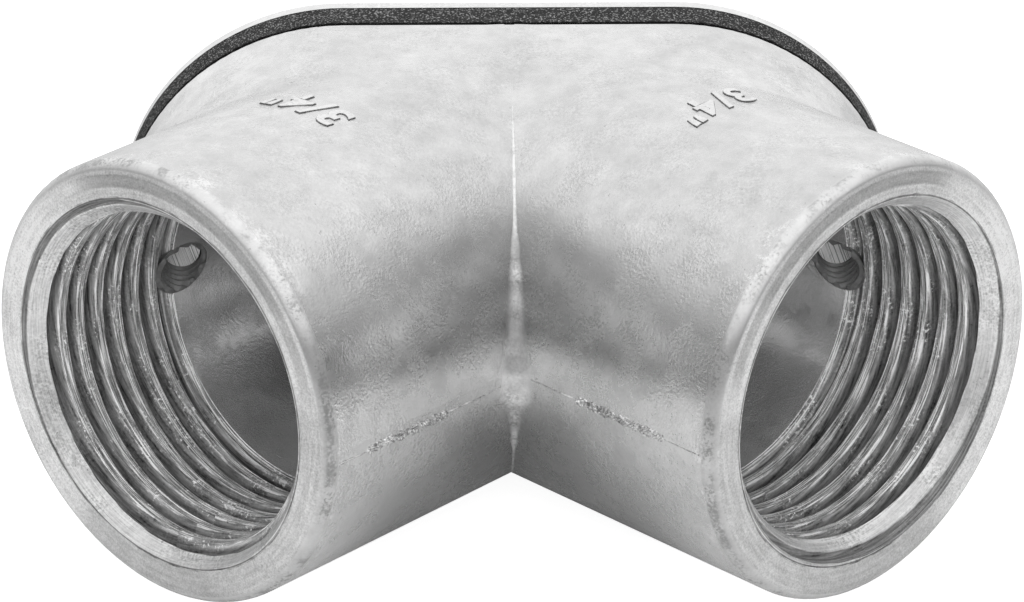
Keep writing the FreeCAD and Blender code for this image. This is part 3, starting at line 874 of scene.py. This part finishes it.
def flat_letters(spread, thick, bevel):
    """A mesh of the trade size lying flat about its middle, with its outline grown by spread and half its
    height given by thick and bevel."""
    letters = bpy.data.curves.new("letters", "FONT")
    letters.body = '3/4"'
    letters.size = 3.7
    letters.space_character = 1.12
    letters.shear = 0.12
    letters.align_x = "CENTER"
    letters.align_y = "CENTER"
    letters.offset = spread
    letters.extrude = thick
    letters.bevel_depth = bevel
    letters.bevel_resolution = 1
    flat = bpy.data.objects.new("flat_letters", letters)
    bpy.context.scene.collection.objects.link(flat)
    view = bpy.context.evaluated_depsgraph_get()
    mesh = bpy.data.meshes.new_from_object(flat.evaluated_get(view))
    bpy.data.objects.remove(flat)
    return mesh


def size_mark(side, centre_reach, centre_angle):
    """The raised trade size on top of one arm, and the dark foot that outlines it, a painted shadow: flat
    letters bent round the arm along their reading direction, with their tops to the mouth, at their height
    over the skin."""
    out, inward = arm_directions(side)
    layers = [
        ("size_mark", 0.06, 0.06, 0.03, LETTER_TOP),
        ("size_mark_shadow", 0.12, 0.03, 0.0, LETTER_SHADOW),
    ]
    for name, spread, thick, bevel, material in layers:
        mesh = flat_letters(spread, thick, bevel)
        place = np.empty(len(mesh.vertices) * 3, dtype=np.float32)
        mesh.vertices.foreach_get("co", place)
        place = place.reshape(-1, 3).astype(float)
        reading = -1.0 if side == "left" else 1.0
        reach = centre_reach + place[:, 1]
        around = arm_radius_at(reach)
        angle = math.radians(centre_angle) + reading * place[:, 0] / around
        radius = around + place[:, 2]
        points = (radius * np.cos(angle))[:, None] * UP + (radius * np.sin(angle))[:, None] * inward
        points = points + reach[:, None] * out + AXES_MEET
        mesh.vertices.foreach_set("co", (points * MM).astype(np.float32).ravel())
        mesh.update()
        mesh.materials.clear()
        mesh.materials.append(material)
        mark = bpy.data.objects.new(f"{side}_{name}", mesh)
        bpy.context.scene.collection.objects.link(mark)
        settle(mark, "elbow", 40.0)


for arm_side in SIDES:
    conduit_thread(arm_side)
    tapped_hole(arm_side)
    cover_screw(arm_side)
crease_blend()
parting_line("left", -0.9, 23.2, 31.0)
parting_line("right", -0.3, 22.2, 30.4)
size_mark("left", 19.6, -1.5)
size_mark("right", 19.3, -2.5)


def backdrop_rays(tree, behind):
    """1 for rays that show the white backdrop: all from the camera, and mirrored ones by how far they go
    behind the part."""
    path = node(tree, "ShaderNodeLightPath", (-1000, 500))
    shiny = calculate(
        tree, "MAXIMUM", (-800, 400), path.outputs["Is Glossy Ray"], path.outputs["Is Transmission Ray"]
    )
    mirrored = calculate(tree, "MULTIPLY", (-600, 400), shiny, behind)
    return calculate(tree, "MAXIMUM", (-400, 400), path.outputs["Is Camera Ray"], mirrored)


def pale_floor():
    """Matt pale floor with a painted pool of light round the part and painted shade under its corner, that is
    white to the camera but keeps the part's soft shadow."""
    mesh = bpy.data.meshes.new("floor")
    wide = 3.0
    low = -0.0002
    corners = [(-wide, -wide, low), (wide, -wide, low), (wide, wide, low), (-wide, wide, low)]
    mesh.from_pydata(corners, [], [(0, 1, 2, 3)])
    floor = bpy.data.objects.new("floor", mesh)
    bpy.context.scene.collection.objects.link(floor)
    material = bpy.data.materials.new("pale_floor")
    material.use_nodes = True
    tree = material.node_tree
    tree.nodes.clear()
    output = node(tree, "ShaderNodeOutputMaterial", (600, 0))
    matt = node(tree, "ShaderNodeBsdfDiffuse", (0, 100))
    white = node(tree, "ShaderNodeEmission", (0, -100), Color=(1.0, 1.0, 1.0, 1.0))
    place = node(tree, "ShaderNodeTexCoord", (-1000, -300))
    split = node(tree, "ShaderNodeSeparateXYZ", (-800, -300))
    tree.links.new(place.outputs["Object"], split.inputs[0])
    behind = between(tree, (-600, -300), split.outputs["Y"], 0.05, 0.2, 0.0, 0.55)
    apart = node(tree, "ShaderNodeVectorMath", (-800, 100), operation="LENGTH")
    tree.links.new(place.outputs["Object"], apart.inputs[0])
    # Painted pool of light: the floor palest round the part.
    painted_light_pool = between(tree, (-400, 100), apart.outputs["Value"], 0.06, 0.14, 0.85, 0.42)
    corner = node(tree, "ShaderNodeVectorMath", (-800, 300), operation="DISTANCE")
    corner.inputs[1].default_value = (0.0, 0.002, 0.0)
    tree.links.new(place.outputs["Object"], corner.inputs[0])
    # Painted shadow on the floor under the part's corner.
    shaded = between(tree, (-400, 300), corner.outputs["Value"], 0.009, 0.02, 0.5, 1.0)
    tree.links.new(calculate(tree, "MULTIPLY", (-200, 200), painted_light_pool, shaded), matt.inputs["Color"])
    lift = calculate(tree, "MULTIPLY", (-200, -100), backdrop_rays(tree, behind), 0.9)
    tree.links.new(lift, white.inputs["Strength"])
    both = node(tree, "ShaderNodeAddShader", (300, 0))
    tree.links.new(matt.outputs[0], both.inputs[0])
    tree.links.new(white.outputs[0], both.inputs[1])
    tree.links.new(both.outputs[0], output.inputs["Surface"])
    mesh.materials.append(material)


def studio():
    """Soft studio: bright overhead, dark low down all round, dim from below, a white backdrop behind."""
    world = bpy.data.worlds.new("studio")
    bpy.context.scene.world = world
    world.use_nodes = True
    tree = world.node_tree
    tree.nodes.clear()
    output = node(tree, "ShaderNodeOutputWorld", (900, 0))
    place = node(tree, "ShaderNodeTexCoord", (-1300, 0))
    split = node(tree, "ShaderNodeSeparateXYZ", (-1100, 0))
    tree.links.new(place.outputs["Generated"], split.inputs[0])
    height = calculate(tree, "MULTIPLY_ADD", (-900, 100), split.outputs["Z"], 0.5, 0.5)
    ramp = node(tree, "ShaderNodeValToRGB", (-700, 100))
    low_stops = [(0.0, 0.4), (0.48, 0.1), (0.5, 0.03), (0.58, 0.05)]
    high_stops = [(0.66, 0.3), (0.77, 0.62), (0.85, 0.95), (1.0, 1.0)]
    stops = low_stops + high_stops
    while len(ramp.color_ramp.elements) < len(stops):
        ramp.color_ramp.elements.new(0.5)
    for element, (position, level) in zip(ramp.color_ramp.elements, stops):
        element.position = position
        element.color = (level, level, level, 1.0)
    tree.links.new(height, ramp.inputs["Fac"])
    behind = between(tree, (-700, -350), split.outputs["Y"], 0.5, 0.95)
    level = calculate(tree, "MAXIMUM", (-400, 100), ramp.outputs["Color"], behind)
    around = node(tree, "ShaderNodeBackground", (300, 100))
    tree.links.new(level, around.inputs["Color"])
    backdrop = node(tree, "ShaderNodeBackground", (300, -100), Color=(1.0, 1.0, 1.0, 1.0))
    chosen = node(tree, "ShaderNodeMixShader", (600, 0))
    tree.links.new(backdrop_rays(tree, behind), chosen.inputs[0])
    tree.links.new(around.outputs[0], chosen.inputs[1])
    tree.links.new(backdrop.outputs[0], chosen.inputs[2])
    tree.links.new(chosen.outputs[0], output.inputs["Surface"])


def mouth_fill():
    """A broad lamp in front that fills the matt insides of the mouths, with no mirror image on the arms."""
    lamp = bpy.data.lights.new("mouth_fill", "AREA")
    lamp.shape = "SQUARE"
    lamp.size = 0.6
    lamp.energy = FILL_WATTS
    light = bpy.data.objects.new("mouth_fill", lamp)
    light.location = (0.0, -1.0, 0.55)
    light.rotation_euler = (math.atan2(1.0, 0.53), 0.0, 0.0)
    light.visible_glossy = False
    bpy.context.scene.collection.objects.link(light)


def photo_camera():
    """Camera at the photograph's viewing angle: a long lens in front of the inner corner, from above."""
    raised, turned, rolled = 0.460, -0.026, 0.007
    distance, focal_pixels = 1007.0, 14062.0
    across_pixels, up_pixels = -4.0, 74.3
    level = math.cos(raised)
    back = np.array([math.sin(turned) * level, -math.cos(turned) * level, math.sin(raised)])
    right = np.cross(UP, back)
    right = right / np.linalg.norm(right)
    up = np.cross(back, right)
    turned_right = math.cos(rolled) * right + math.sin(rolled) * up
    turned_up = math.cos(rolled) * up - math.sin(rolled) * right
    scale = distance / focal_pixels
    stand = back * distance - turned_right * across_pixels * scale - turned_up * up_pixels * scale
    lens = bpy.data.cameras.new("photo_camera")
    lens.sensor_width = SENSOR_WIDTH
    lens.lens = focal_pixels * SENSOR_WIDTH / PICTURE_WIDTH
    lens.clip_start = 0.05
    lens.clip_end = 50.0
    camera = bpy.data.objects.new("photo_camera", lens)
    bpy.context.scene.collection.objects.link(camera)
    turn = np.stack([turned_right, turned_up, back], axis=1)
    place = np.eye(4)
    place[:3, :3] = turn
    place[:3, 3] = (stand + AXES_MEET) * MM
    camera.matrix_world = Matrix(place.tolist())
    bpy.context.scene.camera = camera


pale_floor()
studio()
mouth_fill()
photo_camera()
bpy.context.scene.view_settings.view_transform = "Standard"
